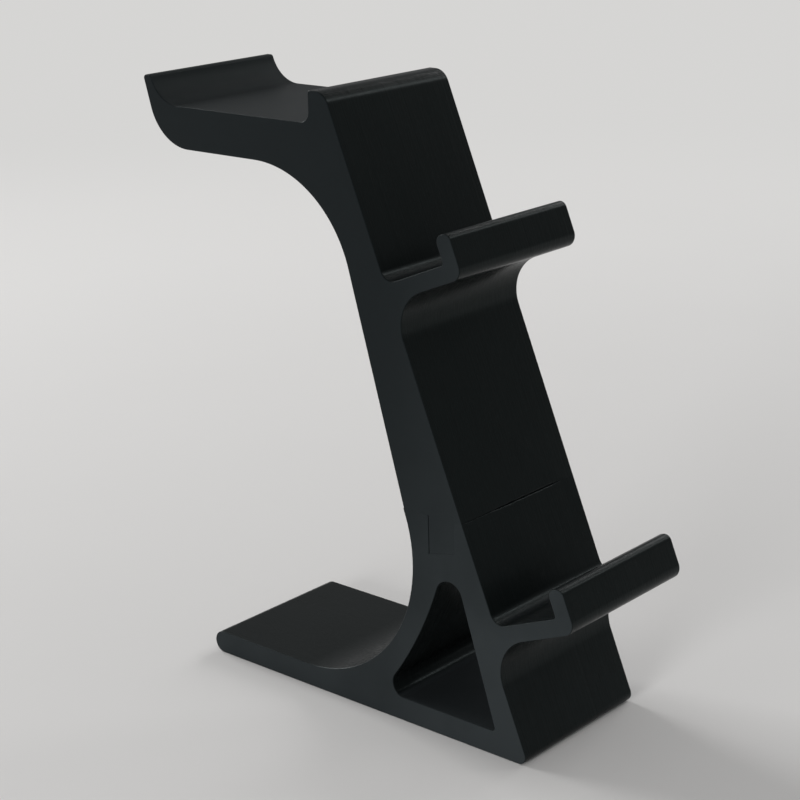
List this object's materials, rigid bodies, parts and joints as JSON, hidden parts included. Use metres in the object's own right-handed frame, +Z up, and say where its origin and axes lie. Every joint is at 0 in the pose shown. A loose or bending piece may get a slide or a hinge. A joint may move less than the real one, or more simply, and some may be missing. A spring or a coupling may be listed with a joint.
{
  "type": "controller and headset stand",
  "caption": "Leaning desk stand in black plastic, with shallow shelves in front that hold game controllers and a trough behind the top that holds a headset band.",
  "frame": {"origin": "middle of the stand's outline on the table that it stands on", "axes": "+X across the stand's width, towards the right of someone who faces its shelves; +Y towards the back, where the headset arm reaches; +Z up"},
  "size_m": [0.08, 0.2452, 0.2833],
  "materials": {
    "black_plastic": "satin, with the fine layers of a print"
  },
  "bodies": {
    "root": {"lower_stand": "black_plastic", "upper_stand": "black_plastic"}
  },
  "joints": []
}
